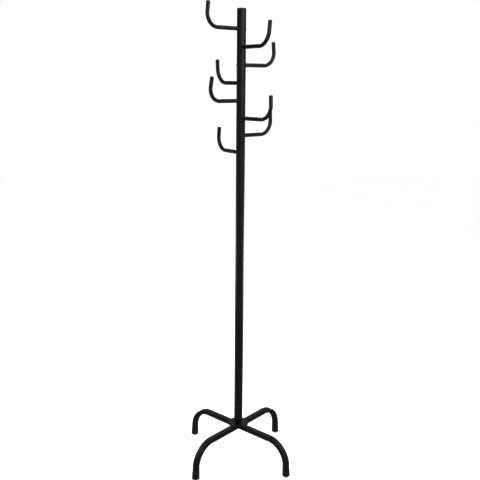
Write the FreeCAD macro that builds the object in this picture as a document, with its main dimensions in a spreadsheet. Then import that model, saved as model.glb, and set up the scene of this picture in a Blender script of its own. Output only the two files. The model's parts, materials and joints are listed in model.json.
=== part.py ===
"""Free-standing coat stand: a round pole in three sections on four bent square legs.

Eight bent hooks leave the upper section in four directions, one a step below the other.
The origin is on the floor under the pole's axis, +Z is up, and the legs point along the
four diagonals. Each hook can be turned about its bolt, and the upper section on its sleeve.
"""
import FreeCAD, Part
import math
import os

import Sketcher
from FreeCAD import Placement, Rotation, Vector

# Driving dimensions, in millimetres and degrees. They fill the sheet "dims".
DIMS = {
    # pole
    "pole_dia": 32.0,
    "pole_wall": 1.5,
    "pole_top": 1770.0,
    "upper_joint_height": 1156.0,
    "lower_joint_height": 664.0,
    "tube_bevel": 0.8,
    "turn_gap": 0.1,
    # sleeves inside the pole's joints
    "sleeve_length": 100.0,
    "sleeve_wall": 2.0,
    "sleeve_play": 0.05,
    # plug in the top of the pole
    "top_flange": 4.5,
    "top_spigot": 18.0,
    "top_rounding": 2.0,
    # legs
    "leg_side": 19.0,
    "leg_wall": 1.5,
    "leg_corner": 1.5,
    "leg_height": 129.5,
    "leg_reach": 162.0,
    "leg_bend": 87.0,
    "leg_bend_angle": 87.0,
    # foot caps
    "cap_side": 21.0,
    "cap_corner": 3.0,
    "cap_height": 28.0,
    "cap_sole": 3.0,
    "cap_play": 0.1,
    "cap_rounding": 1.0,
    # hub
    "plate_dia": 82.0,
    "plate_thick": 4.0,
    "socket_dia": 35.0,
    "socket_height": 19.0,
    "socket_play": 0.1,
    "screw_above_plate": 7.0,
    "screw_direction": -72.0,
    # hooks
    "hook_dia": 12.7,
    "hook_wall": 1.2,
    "hook_top_height": 1699.5,
    "hook_step": 63.9,
    "hook_direction": 214.0,
    "hook_reach": 105.0,
    "hook_bend": 47.0,
    "hook_bend_angle": 95.0,
    "hook_upright": 32.0,
    "hook_gap": 0.1,
    "tip_flange": 3.0,
    "tip_spigot": 9.0,
    "tip_rounding": 1.2,
    # saddle washers, inserts and bolts of the hooks
    "saddle_dia": 17.0,
    "saddle_thick": 2.5,
    "saddle_play": 0.05,
    "insert_length": 14.0,
    "insert_play": 0.02,
    "bolt_dia": 6.0,
    "bolt_length": 46.0,
    "bolt_head_dia": 10.0,
    "bolt_head_height": 3.2,
    "bolt_play": 0.05,
    "bolt_hole_play": 0.2,
    "bolt_key": 2.0,
    # screw that holds the pole in its socket
    "screw_dia": 5.0,
    "screw_length": 7.0,
    "screw_head_dia": 8.5,
    "screw_head_height": 2.4,
    "screw_key": 1.5,
}

# Turn of each hook about its own arm, and how far its hole is drilled off the quarter turn.
HOOK_LEAN = (-1, -9, 0, -6, -6, -4, 3, 0)
HOOK_DRILL = (0, -2, -2, -4, 5, 5, 4, -4)
LEG_NAMES = ("back_right", "back_left", "front_left", "front_right")
QUARTER = 90.0
KEY_DEPTH = 0.6

doc = FreeCAD.newDocument("coat_stand")


# ---------------------------------------------------------------- sizes bound to the sheet


class Size:
    """A size worked out from cells: its value now, and the expression that binds it."""

    def __init__(self, value, text):
        self.value = float(value)
        self.text = text

    def __add__(self, other):
        other = as_size(other)
        return Size(self.value + other.value, f"({self.text} + {other.text})")

    def __sub__(self, other):
        other = as_size(other)
        return Size(self.value - other.value, f"({self.text} - {other.text})")

    def __mul__(self, other):
        other = as_size(other)
        return Size(self.value * other.value, f"({self.text} * {other.text})")

    def __truediv__(self, other):
        other = as_size(other)
        return Size(self.value / other.value, f"({self.text} / {other.text})")

    def __neg__(self):
        return Size(-self.value, f"(0 - {self.text})")


def as_size(number):
    return number if isinstance(number, Size) else Size(number, f"{float(number):.6f}")


def dim(alias):
    return Size(DIMS[alias], f"dims.{alias}")


def sine(angle):
    return Size(math.sin(math.radians(angle.value)), f"sin({angle.text})")


def cosine(angle):
    return Size(math.cos(math.radians(angle.value)), f"cos({angle.text})")


def fill_sheet():
    """The spreadsheet of driving dimensions, one named cell each."""
    sheet = doc.addObject("Spreadsheet::Sheet", "dims")
    for row, (alias, number) in enumerate(DIMS.items(), start=1):
        sheet.set(f"A{row}", alias)
        sheet.set(f"B{row}", f"{number}")
        sheet.setAlias(f"B{row}", alias)
    doc.recompute()


# ---------------------------------------------------------------- sketches


def new_body(name):
    body = doc.addObject("PartDesign::Body", name)
    body.Label = name
    return body


def new_sketch(body, role, offset=None):
    """A sketch on one of the body's origin planes, moved by an offset along and about it."""
    plane = next(f for f in body.Origin.OriginFeatures if f.Role == role)
    sketch = body.newObject("Sketcher::SketchObject", f"{body.Name}_sketch")
    sketch.AttachmentSupport = (plane, [""])
    sketch.MapMode = "FlatFace"
    if offset is not None:
        sketch.AttachmentOffset = offset
    return sketch


def bind(sketch, constraint, size):
    index = sketch.addConstraint(constraint)
    sketch.setExpression(f"Constraints[{index}]", size.text)


def pin_point(sketch, geometry, point, corner):
    """Holds a point of the sketch at its distances from the sketch's origin."""
    for kind, size in zip(("DistanceX", "DistanceY"), map(as_size, corner)):
        bind(sketch, Sketcher.Constraint(kind, -1, 1, geometry, point, size.value), size)


def add_outline(sketch, corners):
    """A closed outline of straight lines through the corners."""
    points = [Vector(as_size(x).value, as_size(y).value, 0) for x, y in corners]
    count = len(points)
    first = sketch.GeometryCount
    for i in range(count):
        sketch.addGeometry(Part.LineSegment(points[i], points[(i + 1) % count]))
    for i, corner in enumerate(corners):
        before = first + (i - 1) % count
        sketch.addConstraint(Sketcher.Constraint("Coincident", before, 2, first + i, 1))
        pin_point(sketch, first + i, 1, corner)


def add_circle(sketch, radius, centre=(0, 0)):
    middle = Vector(as_size(centre[0]).value, as_size(centre[1]).value, 0)
    geometry = sketch.addGeometry(Part.Circle(middle, Vector(0, 0, 1), radius.value))
    pin_point(sketch, geometry, 3, centre)
    bind(sketch, Sketcher.Constraint("Radius", geometry, radius.value), radius)


def add_rounded_square(sketch, side, corner_radius):
    """A square about the sketch's origin, its corners rounded."""
    half = side / 2
    near = half - corner_radius
    flat_ends = (
        ((-near, -half), (near, -half)),
        ((half, -near), (half, near)),
        ((near, half), (-near, half)),
        ((-half, near), (-half, -near)),
    )
    centres = ((near, -near), (near, near), (-near, near), (-near, -near))
    lines = []
    for start, end in flat_ends:
        ends = [Vector(x.value, y.value, 0) for x, y in (start, end)]
        line = sketch.addGeometry(Part.LineSegment(*ends))
        pin_point(sketch, line, 1, start)
        pin_point(sketch, line, 2, end)
        lines.append(line)
    for i, (x, y) in enumerate(centres):
        circle = Part.Circle(Vector(x.value, y.value, 0), Vector(0, 0, 1), corner_radius.value)
        begin = math.radians(QUARTER * (i - 1))
        arc = sketch.addGeometry(Part.ArcOfCircle(circle, begin, begin + math.pi / 2))
        sketch.addConstraint(Sketcher.Constraint("Coincident", lines[i], 2, arc, 1))
        sketch.addConstraint(Sketcher.Constraint("Coincident", lines[(i + 1) % 4], 1, arc, 2))
        radius = Sketcher.Constraint("Radius", arc, corner_radius.value)
        bind(sketch, radius, corner_radius)


def add_bent_path(sketch, start, reach, bend, angle, end_length):
    """A straight run along x, a round bend towards +y, and a straight end."""
    top = Vector(reach.value, 0, 0)
    run = sketch.addGeometry(Part.LineSegment(Vector(start.value, 0, 0), top))
    circle = Part.Circle(Vector(reach.value, bend.value, 0), Vector(0, 0, 1), bend.value)
    begin = -math.pi / 2
    arc = sketch.addGeometry(Part.ArcOfCircle(circle, begin, begin + math.radians(angle.value)))
    bend_x = reach + bend * sine(angle)
    bend_y = bend - bend * cosine(angle)
    end_x = bend_x + end_length * cosine(angle)
    end_y = bend_y + end_length * sine(angle)
    bend_end = Vector(bend_x.value, bend_y.value, 0)
    last = sketch.addGeometry(Part.LineSegment(bend_end, Vector(end_x.value, end_y.value, 0)))
    pin_point(sketch, run, 1, (start, 0))
    pin_point(sketch, run, 2, (reach, 0))
    sketch.addConstraint(Sketcher.Constraint("Tangent", run, 2, arc, 1))
    bind(sketch, Sketcher.Constraint("Radius", arc, bend.value), bend)
    sketch.addConstraint(Sketcher.Constraint("Tangent", arc, 2, last, 1))
    pin_point(sketch, last, 2, (end_x, end_y))


# ---------------------------------------------------------------- features


def revolve(body, corners):
    """A solid of revolution about the body's Z axis."""
    sketch = new_sketch(body, "XZ_Plane")
    add_outline(sketch, corners)
    feature = body.newObject("PartDesign::Revolution", f"{body.Name}_turned")
    feature.Profile = sketch
    feature.ReferenceAxis = (sketch, ["V_Axis"])
    feature.Angle = 360.0
    doc.recompute()


def pad(body, sketch, length, direction=None):
    feature = body.newObject("PartDesign::Pad", f"{body.Name}_pad")
    feature.Profile = sketch
    feature.setExpression("Length", length.text)
    if direction is not None:
        feature.UseCustomVector = True
        feature.Direction = direction
    doc.recompute()


def cut(body, sketch, depth=None, flip=False, direction=None):
    """A pocket of the given depth, or right through both ways. It has to remove something."""
    before = body.Shape.Volume
    feature = body.newObject("PartDesign::Pocket", f"{body.Name}_pocket")
    feature.Profile = sketch
    if depth is None:
        feature.Type = "ThroughAll"
        feature.Midplane = not flip
    else:
        feature.setExpression("Length", depth.text)
    feature.Reversed = flip
    if direction is not None:
        feature.UseCustomVector = True
        feature.Direction = direction
    doc.recompute()
    if not body.Shape.Volume < before:
        raise RuntimeError(f"{feature.Name} removes nothing")


def round_edges(body, radius, wanted):
    """A fillet on the edges of the body's tip that wanted() picks."""
    base = body.Tip
    names = [f"Edge{i}" for i, edge in enumerate(base.Shape.Edges, start=1) if wanted(edge)]
    if not names:
        raise RuntimeError(f"{body.Name} has no such edge to round")
    feature = body.newObject("PartDesign::Fillet", f"{body.Name}_fillet")
    feature.Base = (base, names)
    feature.setExpression("Radius", radius.text)
    doc.recompute()


def sweep(body, profile, path):
    feature = body.newObject("PartDesign::AdditivePipe", f"{body.Name}_pipe")
    feature.Profile = profile
    feature.Spine = (path, [f"Edge{i + 1}" for i in range(path.GeometryCount)])
    doc.recompute()


def ring_edge(radius, height):
    """Picks the circle of that radius at that height, about the body's Z axis."""

    def wanted(edge):
        curve = edge.Curve
        if not isinstance(curve, Part.Circle):
            return False
        same_radius = abs(curve.Radius - radius.value) < 1e-4
        return same_radius and abs(curve.Center.z - height.value) < 1e-4

    return wanted


def turned_ring(name, outer_radius, inner_radius, height, bevel):
    """A tube standing on z = 0, its outer ends bevelled."""
    body = new_body(name)
    corners = (
        (inner_radius, 0),
        (outer_radius - bevel, 0),
        (outer_radius, bevel),
        (outer_radius, height - bevel),
        (outer_radius - bevel, height),
        (inner_radius, height),
    )
    revolve(body, corners)
    return body


def turned_plug(name, flange_radius, flange, spigot_radius, spigot, wall, rounding):
    """A push-in plug: a round flange on top of a hollow spigot that starts at z = 0."""
    body = new_body(name)
    top = spigot + flange
    corners = (
        (0, spigot),
        (spigot_radius - wall, spigot),
        (spigot_radius - wall, 0),
        (spigot_radius, 0),
        (spigot_radius, spigot),
        (flange_radius, spigot),
        (flange_radius, top),
        (0, top),
    )
    revolve(body, corners)
    round_edges(body, rounding, ring_edge(flange_radius, top))
    return body


def turned_screw(name, shank_radius, length, head_radius, head_height, key_radius):
    """A button-head screw along Z: the head stands on z = 0, the shank hangs below it."""
    body = new_body(name)
    corners = (
        (0, -length),
        (shank_radius, -length),
        (shank_radius, 0),
        (head_radius, 0),
        (head_radius, head_height),
        (0, head_height),
    )
    revolve(body, corners)
    round_edges(body, head_height * 0.7, ring_edge(head_radius, head_height))
    hexagon = new_sketch(body, "XY_Plane", Placement(Vector(0, 0, head_height.value), Rotation()))
    turns = [as_size(60.0 * i) for i in range(6)]
    add_outline(hexagon, [(key_radius * cosine(t), key_radius * sine(t)) for t in turns])
    cut(body, hexagon, head_height * KEY_DEPTH)
    return body


# ---------------------------------------------------------------- places


def place(body, height, turn=0.0, lean=Rotation()):
    """Stands a body on the pole's axis at a height, leaned first and then turned about Z."""
    about_z = Rotation(Vector(0, 0, 1), turn)
    body.Placement = Placement(Vector(0, 0, height.value), about_z * lean)
    body.setExpression("Placement.Base.z", height.text)


ALONG_X = Rotation(Vector(0, 1, 0), 90.0)  # turns a body's Z axis to +X
ALONG_MINUS_X = Rotation(Vector(0, 1, 0), -90.0)

POLE_RADIUS = dim("pole_dia") / 2
BORE_RADIUS = POLE_RADIUS - dim("pole_wall")
LEG_TOP = dim("leg_height") + dim("leg_side") / 2
PLATE_TOP = LEG_TOP + dim("plate_thick")
SCREW_HEIGHT = PLATE_TOP + dim("screw_above_plate")
HOOK_RADIUS = dim("hook_dia") / 2
HOOK_BORE = HOOK_RADIUS - dim("hook_wall")
HOOK_ROOT = POLE_RADIUS + dim("saddle_thick") + dim("hook_gap")
HOOK_PATH = (dim("hook_reach"), dim("hook_bend"), dim("hook_bend_angle"), dim("hook_upright"))


def leg_straight_end(height):
    """Length of a leg's last straight, from the bend down to a height above the floor."""
    angle = dim("leg_bend_angle")
    bend_drop = dim("leg_bend") - dim("leg_bend") * cosine(angle)
    return (dim("leg_height") - bend_drop - height) / sine(angle)


# ---------------------------------------------------------------- base


def make_leg(corner, turn):
    """A square tube, mitred where the four meet, that bends down into its foot cap."""
    body = new_body(f"leg_{corner}")
    profile = new_sketch(body, "YZ_Plane")
    add_rounded_square(profile, dim("leg_side"), dim("leg_corner"))
    inner_corner = dim("leg_corner") / 3
    add_rounded_square(profile, dim("leg_side") - dim("leg_wall") * 2, inner_corner)
    path = new_sketch(body, "XZ_Plane")
    angle = dim("leg_bend_angle")
    end_middle = dim("cap_sole") + dim("leg_side") / 2 * cosine(angle)
    run = (dim("leg_reach"), dim("leg_bend"), angle, leg_straight_end(end_middle))
    add_bent_path(path, as_size(0), *run)
    sweep(body, profile, path)
    for sign in (1, -1):
        mitre = new_sketch(body, "XY_Plane")
        far = dim("leg_side")
        side = far if sign > 0 else -far
        add_outline(mitre, [(0, 0), (far, side), (-far, side)])
        cut(body, mitre)
    upside_down = Rotation(Vector(1, 0, 0), 180.0)
    place(body, dim("leg_height"), turn, upside_down)


def make_foot_cap(corner, turn):
    """A push-on cap whose socket follows the leg's splay and whose sole lies flat."""
    body = new_body(f"foot_cap_{corner}")
    angle = dim("leg_bend_angle")
    splay = Vector(-cosine(angle).value, 0, sine(angle).value)
    outer = new_sketch(body, "XY_Plane")
    add_rounded_square(outer, dim("cap_side"), dim("cap_corner"))
    pad(body, outer, dim("cap_height"), splay)
    round_edges(body, dim("cap_rounding"), lambda e: e.BoundBox.ZMax < 1e-6)
    lift = splay * (DIMS["cap_height"] / splay.z)
    mouth = new_sketch(body, "XY_Plane", Placement(lift, Rotation()))
    inner = dim("leg_side") + dim("cap_play") * 2
    add_rounded_square(mouth, inner, dim("leg_corner"))
    cut(body, mouth, dim("cap_height") - dim("cap_sole"), direction=-splay)
    straight = leg_straight_end(as_size(0))
    reach = dim("leg_reach") + dim("leg_bend") * sine(angle) + straight * cosine(angle)
    about_z = Rotation(Vector(0, 0, 1), turn)
    body.Placement = Placement(about_z.multVec(Vector(reach.value, 0, 0)), about_z)


def make_hub_plate():
    """The round plate welded on the leg cross, with the pole and its socket on it."""
    body = new_body("hub_plate")
    sketch = new_sketch(body, "XY_Plane")
    add_circle(sketch, dim("plate_dia") / 2)
    pad(body, sketch, dim("plate_thick"))
    place(body, LEG_TOP)


def cut_screw_hole(body, radius, height):
    """A hole along the body's +X through one wall, at a height above its foot."""
    sketch = new_sketch(body, "YZ_Plane")
    add_circle(sketch, radius, (0, height))
    cut(body, sketch, flip=True)


def make_hub_socket():
    inner = POLE_RADIUS + dim("socket_play")
    height = dim("socket_height")
    body = turned_ring("hub_socket", dim("socket_dia") / 2, inner, height, dim("tube_bevel"))
    hole = dim("screw_dia") / 2 + dim("bolt_play")
    cut_screw_hole(body, hole, dim("screw_above_plate"))
    place(body, PLATE_TOP, DIMS["screw_direction"])


def make_pole_fixing_screw():
    sizes = (dim("screw_length"), dim("screw_head_dia") / 2, dim("screw_head_height"))
    shank = dim("screw_dia") / 2
    body = turned_screw("pole_fixing_screw", shank, *sizes, dim("screw_key"))
    outward = Rotation(Vector(0, 0, 1), DIMS["screw_direction"]) * ALONG_X
    seat = outward.multVec(Vector(0, 0, DIMS["socket_dia"] / 2))
    body.Placement = Placement(seat + Vector(0, 0, SCREW_HEIGHT.value), outward)


# ---------------------------------------------------------------- pole


def make_pole_section(name, foot, head):
    return turned_ring(name, POLE_RADIUS, BORE_RADIUS, head - foot, dim("tube_bevel"))


def make_pole_lower():
    body = make_pole_section("pole_lower", PLATE_TOP, dim("lower_joint_height"))
    hole = dim("screw_dia") / 2 + dim("bolt_play")
    cut_screw_hole(body, hole, dim("screw_above_plate"))
    place(body, PLATE_TOP, DIMS["screw_direction"])


def make_pole_middle():
    foot = dim("lower_joint_height")
    place(make_pole_section("pole_middle", foot, dim("upper_joint_height")), foot)


def make_pole_upper():
    """The section that carries the hooks, cross-drilled once for each bolt."""
    foot = dim("upper_joint_height") + dim("turn_gap")
    body = make_pole_section("pole_upper", foot, dim("pole_top") - dim("top_flange"))
    radius = dim("bolt_dia") / 2 + dim("bolt_hole_play")
    for number in range(len(HOOK_LEAN)):
        about_pole = Rotation(Vector(0, 1, 0), hook_turn(number))
        sketch = new_sketch(body, "YZ_Plane", Placement(Vector(0, 0, 0), about_pole))
        add_circle(sketch, radius, (0, hook_height(number) - foot))
        cut(body, sketch)
    place(body, foot)


def make_pole_top_cap():
    flange = (POLE_RADIUS, dim("top_flange"))
    spigot = (BORE_RADIUS - dim("sleeve_play"), dim("top_spigot"), dim("sleeve_wall"))
    body = turned_plug("pole_top_cap", *flange, *spigot, dim("top_rounding"))
    place(body, dim("pole_top") - dim("top_flange") - dim("top_spigot"))


def make_joint_sleeve(name, joint_height):
    """An inner tube that reaches as far into the section above as into the one below."""
    outer = BORE_RADIUS - dim("sleeve_play")
    length = dim("sleeve_length")
    inner = outer - dim("sleeve_wall")
    body = turned_ring(name, outer, inner, length, dim("tube_bevel"))
    place(body, joint_height - length / 2)


# ---------------------------------------------------------------- hooks


def hook_height(number):
    return dim("hook_top_height") - dim("hook_step") * number


def hook_turn(number):
    """Direction of a hook about Z: a quarter turn on from the one above, as drilled."""
    return DIMS["hook_direction"] + QUARTER * number + HOOK_DRILL[number]


def hook_lean(number):
    return Rotation(Vector(1, 0, 0), HOOK_LEAN[number])


def make_hook_tube(number):
    body = new_body(f"hook_{number + 1}_tube")
    profile = new_sketch(body, "YZ_Plane", Placement(Vector(0, 0, HOOK_ROOT.value), Rotation()))
    add_circle(profile, HOOK_RADIUS)
    add_circle(profile, HOOK_BORE)
    path = new_sketch(body, "XZ_Plane")
    add_bent_path(path, HOOK_ROOT, *HOOK_PATH)
    sweep(body, profile, path)
    place(body, hook_height(number), hook_turn(number), hook_lean(number))


def make_hook_tip_cap(number):
    """The plug in the open end of a hook's tube, in line with its last straight."""
    flange = (HOOK_RADIUS, dim("tip_flange"))
    spigot = (HOOK_BORE - dim("insert_play"), dim("tip_spigot"), dim("hook_wall"))
    body = turned_plug(f"hook_{number + 1}_tip_cap", *flange, *spigot, dim("tip_rounding"))
    reach, bend, angle, upright = HOOK_PATH
    seat = upright - dim("tip_spigot")
    x = reach + bend * sine(angle) + seat * cosine(angle)
    z = bend - bend * cosine(angle) + seat * sine(angle)
    along_tip = Rotation(Vector(0, 1, 0), QUARTER - angle.value)
    in_hook = Placement(Vector(x.value, 0, z.value), along_tip)
    turned = Rotation(Vector(0, 0, 1), hook_turn(number)) * hook_lean(number)
    hook = Placement(Vector(0, 0, hook_height(number).value), turned)
    body.Placement = hook * in_hook


def make_hook_insert(number):
    """The threaded insert pressed into a hook's root, which its bolt screws into."""
    outer = HOOK_BORE - dim("insert_play")
    bore = dim("bolt_dia") / 2 + dim("bolt_play")
    length = dim("insert_length")
    body = turned_ring(f"hook_{number + 1}_insert", outer, bore, length, dim("hook_wall") / 3)
    turned = Rotation(Vector(0, 0, 1), hook_turn(number)) * hook_lean(number) * ALONG_X
    root = turned.multVec(Vector(0, 0, HOOK_ROOT.value))
    body.Placement = Placement(root + Vector(0, 0, hook_height(number).value), turned)


def make_hook_saddle(number):
    """A washer, flat towards the hook and hollowed to sit on the round pole."""
    body = new_body(f"hook_{number + 1}_saddle")
    disc = new_sketch(body, "YZ_Plane")
    add_circle(disc, dim("saddle_dia") / 2)
    add_circle(disc, dim("bolt_dia") / 2 + dim("bolt_hole_play"))
    pad(body, disc, POLE_RADIUS + dim("saddle_thick"))
    round_pole = new_sketch(body, "XY_Plane")
    add_circle(round_pole, POLE_RADIUS + dim("saddle_play"))
    cut(body, round_pole)
    place(body, hook_height(number), hook_turn(number))


def make_hook_bolt(number):
    """A button-head bolt through the pole, its head on the side away from the hook."""
    sizes = (dim("bolt_length"), dim("bolt_head_dia") / 2, dim("bolt_head_height"))
    shank = dim("bolt_dia") / 2
    body = turned_screw(f"hook_{number + 1}_bolt", shank, *sizes, dim("bolt_key"))
    turned = Rotation(Vector(0, 0, 1), hook_turn(number)) * ALONG_MINUS_X
    seat = turned.multVec(Vector(0, 0, POLE_RADIUS.value + DIMS["saddle_play"]))
    body.Placement = Placement(seat + Vector(0, 0, hook_height(number).value), turned)


# ---------------------------------------------------------------- model


def write_parts():
    """Checks every object, then writes one file for each body."""
    for item in doc.Objects:
        if "Invalid" in item.State or "Error" in item.State:
            raise RuntimeError(f"{item.Name} failed: {item.State}")
    bodies = [item for item in doc.Objects if item.TypeId == "PartDesign::Body"]
    for body in bodies:
        shape = body.Shape
        if shape.isNull() or not shape.isValid() or len(shape.Solids) != 1:
            raise RuntimeError(f"{body.Label} is not one valid solid")
    os.makedirs("parts", exist_ok=True)
    for body in bodies:
        body.Shape.exportStep(f"parts/{body.Label}.step")
        print(f"{body.Label}: {body.Shape.Volume / 1000:.2f} cm3")


fill_sheet()
for index, corner_name in enumerate(LEG_NAMES):
    leg_turn = QUARTER / 2 + QUARTER * index
    make_leg(corner_name, leg_turn)
    make_foot_cap(corner_name, leg_turn)
make_hub_plate()
make_hub_socket()
make_pole_fixing_screw()
make_pole_lower()
make_pole_middle()
make_pole_upper()
make_pole_top_cap()
make_joint_sleeve("joint_sleeve_lower", dim("lower_joint_height"))
make_joint_sleeve("joint_sleeve_upper", dim("upper_joint_height"))
for hook_number in range(len(HOOK_LEAN)):
    make_hook_saddle(hook_number)
    make_hook_bolt(hook_number)
    make_hook_tube(hook_number)
    make_hook_insert(hook_number)
    make_hook_tip_cap(hook_number)
doc.recompute()
write_parts()
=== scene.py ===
"""Studio scene of a free-standing black coat stand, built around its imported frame.

The frame holds every size and place. The bent tubes, foot caps, hub plate and weld beads are
modelled here in finer detail, and every piece gets a procedural material. Metres throughout.
"""

import json
import math

import bmesh
import bpy
import numpy as np
from mathutils import Matrix, Vector


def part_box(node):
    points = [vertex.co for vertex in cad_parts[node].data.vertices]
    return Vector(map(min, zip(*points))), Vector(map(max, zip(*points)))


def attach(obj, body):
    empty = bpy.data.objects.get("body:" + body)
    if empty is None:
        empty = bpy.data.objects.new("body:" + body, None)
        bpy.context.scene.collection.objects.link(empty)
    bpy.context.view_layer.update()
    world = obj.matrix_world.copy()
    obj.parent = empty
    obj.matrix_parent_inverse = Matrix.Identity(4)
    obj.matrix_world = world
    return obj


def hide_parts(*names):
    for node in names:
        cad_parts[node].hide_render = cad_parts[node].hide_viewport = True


MM = 0.001
UP = Vector((0.0, 0.0, 1.0))

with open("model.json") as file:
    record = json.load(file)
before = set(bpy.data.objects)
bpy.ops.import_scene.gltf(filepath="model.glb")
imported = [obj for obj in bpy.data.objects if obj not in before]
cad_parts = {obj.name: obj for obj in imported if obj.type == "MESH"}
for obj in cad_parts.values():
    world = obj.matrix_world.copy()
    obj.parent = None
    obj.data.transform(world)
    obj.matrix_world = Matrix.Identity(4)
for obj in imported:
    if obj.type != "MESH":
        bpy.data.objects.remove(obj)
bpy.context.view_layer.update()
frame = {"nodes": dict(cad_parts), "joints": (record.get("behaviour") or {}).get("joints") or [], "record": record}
joints = {joint["name"]: joint for joint in frame["joints"]}
mounts = {mount["name"]: mount for mount in frame["record"]["mounts"]}
hook_numbers = range(1, 1 + sum(name.endswith("_swivel") for name in joints))
corners = [name[len("leg_"):] for name in frame["nodes"] if name.startswith("leg_")]

plate_low, plate_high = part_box("hub_plate")

# Sections of the bought tubes and mouldings, and how the bends crush them.
LEG = {"side": 19 * MM, "wall": 1.5 * MM, "corner": 1.8 * MM, "bend": 87 * MM, "angle": math.radians(87)}
LEG_CRUSH = {"inner": 1.5 * MM, "outer": 0.3 * MM, "bulge": 0.4 * MM, "ramp": 10 * MM}
LEG_RIPPLE = {"depth": 0.15 * MM, "pitch": 11 * MM}
LEG_EDGE = 1.6 * MM  # width along the rounded edges where the paint is rubbed
HOOK_WALL = 1.2 * MM
HOOK_EASE = 0.35 * MM
HOOK_CRUSH = {"inner": 0.7 * MM, "outer": 0.15 * MM, "bulge": 0.3 * MM, "ramp": 6 * MM}
TIP_RIM = 1.8 * MM  # how far the tip cap's straight edge stands past the end of the hook's tube
CAP_SIDE = 21 * MM
CAP_SOLE = 3 * MM
MITRE_GAP = 0.05 * MM
PLATE_RADIUS = plate_high.x
PLATE_EASE = 0.6 * MM
# Weld beads: on the plate and between the legs, round the socket, and the pitch of their ripples.
BEAD = 2.2 * MM
SOCKET_BEAD = 0.9 * MM
RIPPLE_PITCH = 1.6 * MM
PRINT_CURVE = ((0.025, 0.023), (0.1, 0.05), (0.2, 0.085), (0.5, 0.27), (0.8, 0.62))
WORLD_LEVEL = {"eye": 1.0, "light": 0.5, "mirror": 0.03}
FLOOR_GLOW = 0.54
FLOOR_HALF = 8.0


# ---------------------------------------------------------------- meshes


def mesh_piece(name, vertices, faces, wear=None, sharp_angle=40):
    """A smooth-shaded object from vertices and faces, its normals turned outwards."""
    mesh = bpy.data.meshes.new(name)
    mesh.from_pydata([tuple(v) for v in vertices], [], faces)
    if wear is not None:
        attribute = mesh.attributes.new("wear", "FLOAT", "POINT")
        attribute.data.foreach_set("value", np.asarray(wear, np.float32))
    shell = bmesh.new()
    shell.from_mesh(mesh)
    bmesh.ops.recalc_face_normals(shell, faces=shell.faces)
    shell.to_mesh(mesh)
    shell.free()
    mesh.shade_smooth()
    mesh.set_sharp_from_angle(angle=math.radians(sharp_angle))
    piece = bpy.data.objects.new(name, mesh)
    bpy.context.scene.collection.objects.link(piece)
    return piece


def skin(name, rings, closed, wear=None, sharp_angle=40):
    """A surface through rings of equally many points: closed on itself, or filled at both ends."""
    count = len(rings[0])
    vertices = [point for ring in rings for point in ring]
    spans = len(rings) if closed else len(rings) - 1
    faces = []
    for i in range(spans):
        here, there = i * count, (i + 1) % len(rings) * count
        for j in range(count):
            k = (j + 1) % count
            faces.append((here + j, here + k, there + k, there + j))
    if not closed:
        faces.append(tuple(range(count)))
        faces.append(tuple(range(len(vertices) - count, len(vertices))))
    return mesh_piece(name, vertices, faces, wear, sharp_angle)


def circle(radius, parts=48):
    angles = [2 * math.pi * i / parts for i in range(parts)]
    return [Vector((radius * math.cos(a), radius * math.sin(a))) for a in angles]


def rounded_square(side, corner, flat_parts=10, arc_parts=6):
    """Points round a square with rounded corners, centred on zero."""
    near = side / 2 - corner
    points = []
    for quarter in range(4):
        turn = Matrix.Rotation(quarter * math.pi / 2, 2)
        for i in range(arc_parts):
            a = math.pi / 2 * i / arc_parts
            points.append(turn @ Vector((near + corner * math.cos(a), near + corner * math.sin(a))))
        for i in range(flat_parts):
            points.append(turn @ Vector((near - 2 * near * i / flat_parts, side / 2)))
    return points


def smoothstep(low, high, value):
    share = min(max((value - low) / (high - low), 0.0), 1.0)
    return share * share * (3 - 2 * share)


class BentPath:
    """A centre line: straight, then a round bend, then straight. Distances are along it."""

    def __init__(self, start, along, inward, first, bend, angle, last):
        self.start, self.along, self.inward = Vector(start), Vector(along), Vector(inward)
        self.bend, self.angle = bend, angle
        self.bend_start = first
        self.bend_end = first + bend * angle
        self.length = self.bend_end + last

    def at(self, distance):
        """The point there, the direction of the tube and the direction of the bend's centre."""
        turned = min(max((distance - self.bend_start) / self.bend, 0.0), self.angle)
        sine, cosine = math.sin(turned), math.cos(turned)
        tangent = self.along * cosine + self.inward * sine
        inward = self.inward * cosine - self.along * sine
        straight = min(distance, self.bend_start) + max(distance - self.bend_end, 0.0)
        before = min(distance, self.bend_start)
        point = self.start + self.along * (before + self.bend * sine)
        point += self.inward * self.bend * (1 - cosine)
        return point + tangent * (straight - before), tangent, inward

    def stations(self, straight_parts, bend_parts, ramp):
        """Distances for the rings: close together in the bend and where it starts and ends."""
        low, high = self.bend_start - ramp, self.bend_end + ramp
        high = min(high, self.length - 1 * MM)
        first = np.linspace(0, low, straight_parts, endpoint=False)
        bend = np.linspace(low, high, bend_parts, endpoint=False)
        last = np.linspace(high, self.length, straight_parts)
        return [float(d) for d in np.concatenate((first, bend, last))]

    def crush_share(self, distance, ramp):
        """How far the bend has crushed the tube: 0 on the straights and 1 in the bend."""
        rise = smoothstep(self.bend_start - ramp / 2, self.bend_start + ramp / 2, distance)
        fall = smoothstep(self.bend_end - ramp / 2, self.bend_end + ramp / 2, distance)
        return rise * (1 - fall)


def crushed(point, half, share, crush, ripple=0.0):
    """A point of a tube's section, x towards the bend's centre, as the bend leaves it."""
    x, y = point.x / half, point.y / half
    inner = smoothstep(-0.6, 1.0, x)
    middle = 1 - 0.45 * y * y
    x_shift = -(crush["inner"] + ripple) * inner * middle + crush["outer"] * (1 - inner)
    y_shift = crush["bulge"] * y * (1 - x * x * 0.5)
    return Vector((point.x + share * x_shift, point.y + share * y_shift))


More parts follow.
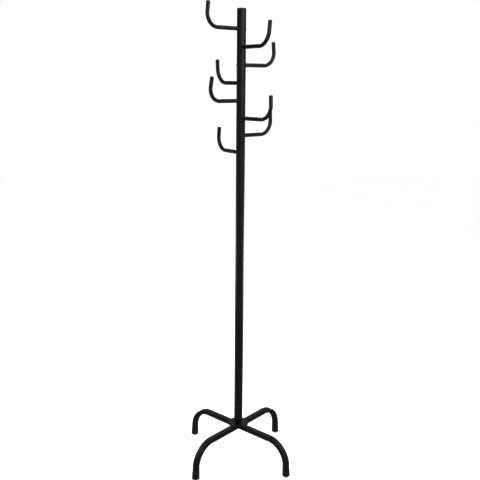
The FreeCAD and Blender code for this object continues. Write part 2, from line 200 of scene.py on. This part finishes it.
def ring_at(path, distance, section, pull=None):
    """The section's points in place, each pulled along the tube by pull(point)."""
    centre, tangent, inward = path.at(distance)
    side = tangent.cross(inward)
    ring = []
    for point in section:
        shift = pull(point) if pull else 0.0
        ring.append(centre + inward * point.x + side * point.y + tangent * shift)
    return ring


# ---------------------------------------------------------------- materials


def start_material(name, **constants):
    """A new node material: its tree, its shader and the coordinates fixed to the object."""
    material = bpy.data.materials.new(name)
    material.use_nodes = True
    tree = material.node_tree
    shader = tree.nodes["Principled BSDF"]
    for socket, value in constants.items():
        shader.inputs[socket.replace("_", " ")].default_value = value
    place = tree.nodes.new("ShaderNodeTexCoord").outputs["Object"]
    return material, tree, shader, place


def stretched(tree, place, scale):
    mapping = tree.nodes.new("ShaderNodeMapping")
    mapping.inputs["Scale"].default_value = scale
    tree.links.new(place, mapping.inputs["Vector"])
    return mapping.outputs["Vector"]


def noise(tree, place, scale, detail=3.0, roughness=0.5):
    node = tree.nodes.new("ShaderNodeTexNoise")
    node.inputs["Scale"].default_value = scale
    node.inputs["Detail"].default_value = detail
    node.inputs["Roughness"].default_value = roughness
    tree.links.new(place, node.inputs["Vector"])
    return node.outputs["Fac"]


def remap(tree, value, low, high, from_low=0.3, from_high=0.7):
    node = tree.nodes.new("ShaderNodeMapRange")
    for socket, number in zip(("From Min", "From Max", "To Min", "To Max"), (from_low, from_high, low, high)):
        node.inputs[socket].default_value = number
    tree.links.new(value, node.inputs["Value"])
    return node.outputs["Result"]


def combine(tree, operation, first, second):
    """Arithmetic on two sockets, or on a socket and a number."""
    node = tree.nodes.new("ShaderNodeMath")
    node.operation = operation
    for socket, value in zip(node.inputs, (first, second)):
        if isinstance(value, (int, float)):
            socket.default_value = value
        else:
            tree.links.new(value, socket)
    return node.outputs["Value"]


def mix_colours(tree, share, first, second):
    """Between two colours, or from one that another mix made."""
    node = tree.nodes.new("ShaderNodeMix")
    node.data_type = "RGBA"
    tree.links.new(share, node.inputs[0])
    for socket, colour in zip((node.inputs[6], node.inputs[7]), (first, second)):
        if isinstance(colour, tuple):
            socket.default_value = (*colour, 1.0)
        else:
            tree.links.new(colour, socket)
    return node.outputs[2]


def bump(tree, height, distance, strength=1.0, normal=None):
    node = tree.nodes.new("ShaderNodeBump")
    node.inputs["Distance"].default_value = distance
    node.inputs["Strength"].default_value = strength
    tree.links.new(height, node.inputs["Height"])
    if normal is not None:
        tree.links.new(normal, node.inputs["Normal"])
    return node.outputs["Normal"]


def make_paint():
    """Satin black powder coat: orange peel, faint mottling, rubbed lighter where it wears."""
    material, tree, shader, place = start_material("powder_coat_black", Specular_IOR_Level=0.5)
    cloud = noise(tree, place, 32, detail=4)
    peel = noise(tree, place, 520, detail=2)
    sag = noise(tree, place, 70, detail=2)
    rub = noise(tree, place, 260, detail=5, roughness=0.65)
    worn = tree.nodes.new("ShaderNodeAttribute")
    worn.attribute_name = "wear"
    rubbed = combine(tree, "MULTIPLY", worn.outputs["Fac"], remap(tree, rub, 0, 1, 0.45, 0.7))
    coat = mix_colours(tree, remap(tree, cloud, 0, 1), (0.0085, 0.0085, 0.0080), (0.0125, 0.0125, 0.0118))
    colour = mix_colours(tree, rubbed, coat, (0.050, 0.050, 0.048))
    satin = remap(tree, cloud, 0.36, 0.44)
    rough = combine(tree, "SUBTRACT", satin, combine(tree, "MULTIPLY", worn.outputs["Fac"], 0.06))
    grain = bump(tree, peel, 0.014 * MM, 0.6)
    surface = bump(tree, sag, 0.06 * MM, 0.3, grain)
    tree.links.new(colour, shader.inputs["Base Color"])
    tree.links.new(rough, shader.inputs["Roughness"])
    tree.links.new(surface, shader.inputs["Normal"])
    return material


def make_plastic():
    """Moulded black polyethylene: matt, with the fine grain of a spark-eroded mould."""
    material, tree, shader, place = start_material("moulded_plastic_black", Specular_IOR_Level=0.45)
    cloud = noise(tree, place, 60, detail=3)
    grain = noise(tree, place, 2600, detail=2)
    scuff = noise(tree, stretched(tree, place, (1, 1, 3)), 420, detail=4, roughness=0.7)
    colour = mix_colours(tree, remap(tree, cloud, 0, 1), (0.010, 0.010, 0.010), (0.016, 0.016, 0.016))
    scuffed = mix_colours(tree, remap(tree, scuff, 0, 0.5, 0.62, 0.75), colour, (0.05, 0.05, 0.05))
    tree.links.new(scuffed, shader.inputs["Base Color"])
    tree.links.new(remap(tree, scuff, 0.48, 0.62), shader.inputs["Roughness"])
    tree.links.new(bump(tree, grain, 0.02 * MM, 0.7), shader.inputs["Normal"])
    return material


def make_lacquer_with_painted_shade():
    """Matt black lacquer over the hub's socket and its weld, rough with spatter; its black, darker than the
    frame's paint, is painted shade at the foot of the pole.
    """
    material, tree, shader, place = start_material("matt_lacquer_painted_shade", Specular_IOR_Level=0.2)
    cloud = noise(tree, place, 90, detail=4)
    spatter = noise(tree, place, 700, detail=3)
    # Painted shade: a darker black than the frame's paint, standing in for the shade where the plate closes in
    # round the pole's foot.
    colour = mix_colours(tree, remap(tree, cloud, 0, 1), (0.004, 0.004, 0.004), (0.007, 0.007, 0.007))
    tree.links.new(colour, shader.inputs["Base Color"])
    tree.links.new(remap(tree, cloud, 0.55, 0.65), shader.inputs["Roughness"])
    tree.links.new(bump(tree, spatter, 0.03 * MM, 0.6), shader.inputs["Normal"])
    return material


def make_black_steel():
    """Blackened steel of the bolts and the fixing screw, with faint oily colour."""
    material, tree, shader, place = start_material("blackened_steel", Metallic=0.85)
    cloud = noise(tree, place, 300, detail=4)
    pits = noise(tree, place, 1800, detail=2)
    colour = mix_colours(tree, remap(tree, cloud, 0, 1), (0.06, 0.06, 0.063), (0.11, 0.108, 0.104))
    tree.links.new(colour, shader.inputs["Base Color"])
    tree.links.new(remap(tree, cloud, 0.26, 0.40), shader.inputs["Roughness"])
    tree.links.new(bump(tree, pits, 0.015 * MM, 0.5), shader.inputs["Normal"])
    return material


def make_drawn_steel():
    """Bright drawn tube of the hidden sleeves and inserts, with lengthwise draw lines."""
    material, tree, shader, place = start_material("drawn_steel", Metallic=1.0)
    lines = noise(tree, stretched(tree, place, (1, 1, 0.02)), 1500, detail=3)
    cloud = noise(tree, place, 80, detail=3)
    colour = mix_colours(tree, remap(tree, cloud, 0, 1), (0.36, 0.36, 0.35), (0.48, 0.48, 0.47))
    tree.links.new(colour, shader.inputs["Base Color"])
    tree.links.new(remap(tree, lines, 0.25, 0.42), shader.inputs["Roughness"])
    tree.links.new(bump(tree, lines, 0.01 * MM, 0.5), shader.inputs["Normal"])
    return material


def make_floor_material():
    material, tree, shader, place = start_material("studio_floor", Roughness=0.9, Specular_IOR_Level=0.1)
    shader.inputs["Emission Color"].default_value = (1, 1, 1, 1)
    shader.inputs["Emission Strength"].default_value = FLOOR_GLOW
    cloud = noise(tree, place, 1.5, detail=2)
    colour = mix_colours(tree, remap(tree, cloud, 0, 1), (0.93, 0.93, 0.93), (0.95, 0.95, 0.95))
    tree.links.new(colour, shader.inputs["Base Color"])
    return material


MATERIALS = {
    "frame_paint": make_paint(),
    "black_plastic": make_plastic(),
    "black_fastener": make_black_steel(),
    "plain_steel": make_drawn_steel(),
}
# The socket's lacquer carries painted shade: its darker black stands for the shade at the pole's foot.
SOCKET_PAINTED_SHADE = make_lacquer_with_painted_shade()


def finish_piece(piece, body, slot, *nodes, material=None):
    """Gives a new piece its material and body, and the frame's nodes that it stands for."""
    piece.data.materials.append(material or MATERIALS[slot])
    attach(piece, body)
    if nodes:
        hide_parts(*nodes)


def dress_frame():
    """Every node of the frame takes the material of its slot, and the socket a matt lacquer whose darker black is
    painted shade.
    """
    finishes = {part["node"]: MATERIALS[part["material_slot"]] for part in frame["record"]["subparts"]}
    # Painted shade: the socket takes the darker lacquer.
    finishes["hub_socket"] = SOCKET_PAINTED_SHADE
    for node, material in finishes.items():
        mesh = frame["nodes"][node].data
        mesh.materials.clear()
        mesh.materials.append(material)


# ---------------------------------------------------------------- legs


def make_leg(corner):
    """A square tube, mitred at the hub, its bend crushed on the inside as benders leave it."""
    foot = Vector(mounts["sole_" + corner]["pos_m"])
    outward = Vector((foot.x, foot.y, 0)).normalized()
    side = LEG["side"]
    height = plate_low.z - side / 2
    bend, angle = LEG["bend"], LEG["angle"]
    drop = bend * (1 - math.cos(angle))
    sole = CAP_SOLE + side / 2 * math.cos(angle)
    first = foot.xy.length - bend * math.sin(angle) - (height - drop) / math.tan(angle)
    last = (height - drop - sole) / math.sin(angle)
    path = BentPath(UP * height, outward, -UP, first, bend, angle, last)
    outer = rounded_square(side, LEG["corner"])
    inner = rounded_square(side - 2 * LEG["wall"], LEG["corner"] / 3)
    rings, wear = {"outer": [], "inner": []}, {"outer": [], "inner": []}
    for distance in path.stations(8, 72, LEG_CRUSH["ramp"]):
        share = path.crush_share(distance, LEG_CRUSH["ramp"])
        ripple = LEG_RIPPLE["depth"] * math.cos(2 * math.pi * distance / LEG_RIPPLE["pitch"])
        for layer, section in (("outer", outer), ("inner", inner)):
            bent = [crushed(p, side / 2, share, LEG_CRUSH, ripple) for p in section]
            mitre = (lambda p: abs(p.y) + MITRE_GAP) if distance == 0 else None
            rings[layer].append(ring_at(path, distance, bent, mitre))
            wear[layer] += [corner_wear(p, side) if layer == "outer" else 0.0 for p in section]
    surface = rings["outer"] + rings["inner"][::-1]
    leg = skin("bent_leg_" + corner, surface, True, wear["outer"] + wear["inner"])
    finish_piece(leg, "stand", "frame_paint", "leg_" + corner)
    return path


def corner_wear(point, side):
    """1 on the rounded corners of a square section and 0 on its flats."""
    return 1.0 if min(abs(point.x), abs(point.y)) > side / 2 - LEG_EDGE else 0.0


def make_foot_cap(corner):
    """A push-on foot: rounded sole, slightly tapered walls and a bead round its mouth."""
    node = "foot_cap_" + corner
    foot = Vector(mounts["sole_" + corner]["pos_m"])
    outward = Vector((foot.x, foot.y, 0)).normalized()
    sideways = UP.cross(outward)
    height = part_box(node)[1].z
    mouth = LEG["side"] + 0.3 * MM
    # height above the floor, width more than the cap's nominal side, corner radius
    profile = (
        (0.0, -12.0 * MM, 1.5 * MM),
        (0.0, -2.4 * MM, 2.2 * MM),
        (0.15 * MM, -1.4 * MM, 2.6 * MM),
        (0.6 * MM, -0.4 * MM, 3.0 * MM),
        (1.3 * MM, 0.1 * MM, 3.1 * MM),
        (2.2 * MM, 0.3 * MM, 3.2 * MM),
        (4.5 * MM, 0.3 * MM, 3.2 * MM),
        (4.9 * MM, 0.05 * MM, 3.1 * MM),
        (5.3 * MM, 0.0, 3.0 * MM),
        (height - 3.2 * MM, -0.3 * MM, 2.9 * MM),
        (height - 2.8 * MM, -0.2 * MM, 2.9 * MM),
        (height - 2.3 * MM, 0.3 * MM, 3.0 * MM),
        (height - 1.6 * MM, 0.5 * MM, 3.1 * MM),
        (height - 0.9 * MM, 0.4 * MM, 3.0 * MM),
        (height - 0.3 * MM, -0.1 * MM, 2.8 * MM),
        (height, -0.7 * MM, 2.5 * MM),
        (height - 0.1 * MM, -1.3 * MM, 2.1 * MM),
        (height - 0.6 * MM, mouth - CAP_SIDE, 1.8 * MM),
        (CAP_SOLE, mouth - CAP_SIDE, 1.8 * MM),
        (CAP_SOLE, -12.0 * MM, 1.5 * MM),
    )
    rings = []
    for level, wider, radius in profile:
        centre = outward * (foot.xy.length - level / math.tan(LEG["angle"])) + UP * level
        section = rounded_square(CAP_SIDE + wider, radius, flat_parts=6, arc_parts=8)
        rings.append([centre + outward * p.x + sideways * p.y for p in section])
    cap = skin("foot_boot_" + corner, rings, False, sharp_angle=50)
    finish_piece(cap, "stand", "black_plastic", node)


# ---------------------------------------------------------------- hub


def make_plate():
    """The round plate on the legs, its edges eased."""
    steps, ease = 5, PLATE_EASE
    turns = [math.pi / 2 * i / steps for i in range(steps + 1)]
    # each ring's distance in from the plate's edge, and its height
    profile = [(PLATE_RADIUS / 2, plate_low.z)]
    profile += [(ease * (1 - math.sin(a)), plate_low.z + ease * (1 - math.cos(a))) for a in turns]
    profile += [(ease * (1 - math.cos(a)), plate_high.z - ease * (1 - math.sin(a))) for a in turns]
    profile.append((PLATE_RADIUS / 2, plate_high.z))
    rings = []
    for inset, level in profile:
        rings.append([Vector((*p, level)) for p in circle(PLATE_RADIUS - inset, 128)])
    plate = skin("eased_plate", rings, False, sharp_angle=50)
    finish_piece(plate, "stand", "frame_paint", "hub_plate")


def weld_bead(name, centres, outs, ups, size, closed, seed, material=None):
    """A fillet weld in the corner between two faces: rippled, a little uneven, rounded ends.

    The faces meet along centres; outs and ups point along the two faces, away from the corner.
    """
    draw = np.random.default_rng(seed)
    count = len(centres)
    length = sum((centres[i] - centres[i - 1]).length for i in range(1, count))
    swell = np.interp(np.linspace(0, 1, count), np.linspace(0, 1, 9), draw.uniform(0.88, 1.12, 9))
    if closed:
        blend = np.linspace(0, 1, count)
        swell = swell * (1 - blend**6) + swell[0] * blend**6
    arc = 8
    rings = []
    travelled = 0.0
    for i, (centre, out, up) in enumerate(zip(centres, outs, ups)):
        if i:
            travelled += (centre - centres[i - 1]).length
        end = min(travelled, length - travelled)
        taper = 1.0 if closed else 0.25 + 0.75 * math.sqrt(smoothstep(0, size * 1.1, end))
        wave = 1 + 0.07 * abs(math.sin(math.pi * travelled / RIPPLE_PITCH))
        reach = size * swell[i] * taper
        ring = [centre - (out + up) * 0.3 * MM]
        for j in range(arc + 1):
            a = math.pi / 2 * j / arc
            crown = (wave - 1) * math.sin(2 * a)
            cup = 0.80 + 0.12 * math.cos(4 * a)
            x, y = math.cos(a) ** 1.3, math.sin(a) ** 1.3
            ring.append(centre + (out * x + up * y) * reach * (cup + crown))
        rings.append(ring)
    piece = skin(name, rings, closed, sharp_angle=60)
    finish_piece(piece, "stand", "frame_paint", material=material)


def make_welds(leg_paths):
    """Beads round the socket, across each leg at the plate's edge, and between the legs."""
    socket_low, socket_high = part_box("hub_socket")
    radius = (socket_high.x - socket_low.x) / 2
    turns = [2 * math.pi * i / 400 for i in range(400)]
    outs = [Vector((math.cos(a), math.sin(a), 0)) for a in turns]
    centres = [out * radius + UP * plate_high.z for out in outs]
    # The bead round the socket takes the same lacquer, its darker black painted shade at the pole's foot.
    weld_bead("weld_socket", centres, outs, [UP] * len(outs), SOCKET_BEAD, True, 3, SOCKET_PAINTED_SHADE)
    steps = 60
    for number, (corner, path) in enumerate(leg_paths.items()):
        out = path.along
        across = UP.cross(out)
        spread = math.asin((LEG["side"] / 2 - 1.2 * MM) / PLATE_RADIUS)
        turns = [spread * (2 * i / steps - 1) for i in range(steps + 1)]
        outs = [out * math.cos(a) + across * math.sin(a) for a in turns]
        centres = [radial * PLATE_RADIUS + UP * plate_low.z for radial in outs]
        weld_bead(f"weld_plate_{corner}", centres, outs, [UP] * len(outs), BEAD, False, 11 + number)
        between = (out + across).normalized()
        low, high = plate_low.z - LEG["side"] + 1.5 * MM, plate_low.z - 0.5 * MM
        root = between * (LEG["side"] / 2 * math.sqrt(2))
        heights = [low + (high - low) * i / steps for i in range(steps + 1)]
        centres = [root + UP * h for h in heights]
        weld_bead(f"weld_corner_{corner}", centres, [out] * len(heights), [across] * len(heights), BEAD * 0.9,
                  False, 31 + number)


# ---------------------------------------------------------------- hooks


def hook_path(number):
    """The hook's centre line, from its swivel and from the straight end a coat hangs on."""
    swivel, end = joints[f"hook_{number}_swivel"], mounts[f"hook_{number}_end"]
    root, along = Vector(swivel["pos_m"]), Vector(swivel["axis"]).normalized()
    middle, tip = Vector(end["pos_m"]), Vector(end["axis"]).normalized()
    straight = end["dims"]["length_mm"] * MM
    angle = along.angle(tip)
    inward = (tip - along * along.dot(tip)).normalized()
    offset = middle - root
    rise = offset.dot(inward) / math.sin(angle)
    tangent_length = rise - straight / 2
    bend = tangent_length / math.tan(angle / 2)
    first = offset.dot(along) - rise * math.cos(angle) - tangent_length
    upright = straight - TIP_RIM
    return BentPath(root, along, inward, first, bend, angle, upright), end["dims"]["r_mm"] * MM


def make_hook(number):
    """A round tube bent cold: its bend is flattened, most of all on the inside."""
    path, radius = hook_path(number)
    outer, inner = circle(radius), circle(radius - HOOK_WALL)
    stations = path.stations(6, 56, HOOK_CRUSH["ramp"])
    stations = [0.0, HOOK_EASE * 0.3, HOOK_EASE] + stations[1:]
    outer_rings, inner_rings, wear = [], [], []
    for distance in stations:
        share = path.crush_share(distance, HOOK_CRUSH["ramp"])
        inset = HOOK_EASE * (1 - math.sin(math.acos(1 - min(distance / HOOK_EASE, 1.0))))
        size = 1 - inset / radius
        bent = [crushed(p * size, radius, share, HOOK_CRUSH) for p in outer]
        outer_rings.append(ring_at(path, distance, bent))
        inner_rings.append(ring_at(path, distance, [crushed(p, radius, share, HOOK_CRUSH) for p in inner]))
        wear += [0.8 * share * smoothstep(0.2, 1.0, p.x / radius) for p in outer]
    rings = outer_rings + inner_rings[::-1]
    wear += [0.0] * len(wear)
    hook = skin(f"bent_hook_{number}", rings, True, wear)
    finish_piece(hook, f"hook_{number}", "frame_paint", f"hook_{number}_tube")


# ---------------------------------------------------------------- studio


CAMERA = {
    "azimuth": math.radians(-4.222),
    "distance": 2602.98 * MM,
    "height": 1519.92 * MM,
    "pitch": math.radians(-13.092),
    "yaw": math.radians(-0.021),
    "roll": math.radians(0.483),
    "lens_mm": 51.708,
}


KEY_LIGHT = dict(distance=2.6, height=2.5, size=(2.0, 1.0), watts=9, aim_height=1.75, spread=75)
FILL_LIGHT = dict(distance=2.4, height=2.1, size=(0.6, 0.6), watts=0.4, aim_height=0.1, spread=50)
RIM_LIGHT = dict(distance=2.4, height=0.3, size=(1.4, 0.4), watts=4, aim_height=0.1, spread=60)
SKY_LIGHT = dict(distance=2.6, height=1.7, size=(1.6, 0.7), watts=0.12, aim_height=0.13, spread=40)


def make_camera():
    camera = bpy.data.objects.new("camera", bpy.data.cameras.new("camera"))
    bpy.context.scene.collection.objects.link(camera)
    camera.data.lens = CAMERA["lens_mm"]
    camera.data.sensor_width = 36.0
    about = Matrix.Rotation(CAMERA["azimuth"], 4, "Z")
    place = about @ Vector((0, -CAMERA["distance"], CAMERA["height"]))
    heading = Matrix.Rotation(CAMERA["azimuth"] + CAMERA["yaw"], 4, "Z")
    tilt = Matrix.Rotation(math.pi / 2 + CAMERA["pitch"], 4, "X")
    roll = Matrix.Rotation(CAMERA["roll"], 4, "Z")
    camera.matrix_world = Matrix.Translation(place) @ heading @ tilt @ roll
    camera.data.clip_end = 100.0
    bpy.context.scene.camera = camera


def softbox(name, azimuth, distance, height, size, watts, aim_height, spread):
    """A soft rectangular light. Azimuth 0 is in front of the stand and 90 on its right."""
    light = bpy.data.lights.new(name, "AREA")
    light.shape = "RECTANGLE"
    light.size, light.size_y = size
    light.energy = watts
    light.spread = math.radians(spread)
    lamp = bpy.data.objects.new(name, light)
    bpy.context.scene.collection.objects.link(lamp)
    angle = math.radians(azimuth)
    lamp.location = (distance * math.sin(angle), -distance * math.cos(angle), height)
    aim = Vector((0, 0, aim_height)) - lamp.location
    lamp.rotation_euler = aim.to_track_quat("-Z", "Y").to_euler()
    lamp.visible_camera = False


def make_world():
    """White to the eye, softer as light on the stand, and dim in reflections, as flags make it."""
    world = bpy.data.worlds.new("studio")
    bpy.context.scene.world = world
    world.use_nodes = True
    tree = world.node_tree
    background = tree.nodes["Background"]
    background.inputs["Color"].default_value = (1, 1, 1, 1)
    path = tree.nodes.new("ShaderNodeLightPath")
    lit = remap(tree, path.outputs["Is Camera Ray"], WORLD_LEVEL["light"], WORLD_LEVEL["eye"], 0, 1)
    seen = remap(tree, path.outputs["Is Glossy Ray"], 0, WORLD_LEVEL["light"] - WORLD_LEVEL["mirror"], 0, 1)
    tree.links.new(combine(tree, "SUBTRACT", lit, seen), background.inputs["Strength"])


def make_studio():
    turns = ((-1, -1), (1, -1), (1, 1), (-1, 1))
    mesh = bpy.data.meshes.new("studio_floor")
    mesh.from_pydata([(x * FLOOR_HALF, y * FLOOR_HALF, 0) for x, y in turns], [], [(0, 1, 2, 3)])
    floor = bpy.data.objects.new("studio_floor", mesh)
    bpy.context.scene.collection.objects.link(floor)
    mesh.materials.append(make_floor_material())
    floor.visible_glossy = False
    floor.visible_diffuse = False
    softbox("key", 40, **KEY_LIGHT)
    for side, sign in (("left", -1), ("right", 1)):
        softbox(side + "_fill", 94 * sign, **FILL_LIGHT)
        softbox(side + "_rim", 135 * sign, **RIM_LIGHT)
    softbox("sky", 180, **SKY_LIGHT)
    set_contrast()


def set_contrast():
    """The contrast of a printed catalogue: the darks stay as they are and the middle tones drop."""
    settings = bpy.context.scene.view_settings
    settings.view_transform = "Standard"
    settings.use_curve_mapping = True
    curve = settings.curve_mapping.curves[3]
    for tone, printed in PRINT_CURVE:
        curve.points.new(tone, printed)
    settings.curve_mapping.update()


dress_frame()
leg_paths = {corner: make_leg(corner) for corner in corners}
for leg_corner in corners:
    make_foot_cap(leg_corner)
make_plate()
make_welds(leg_paths)
for hook_number in hook_numbers:
    make_hook(hook_number)
make_world()
make_studio()
make_camera()
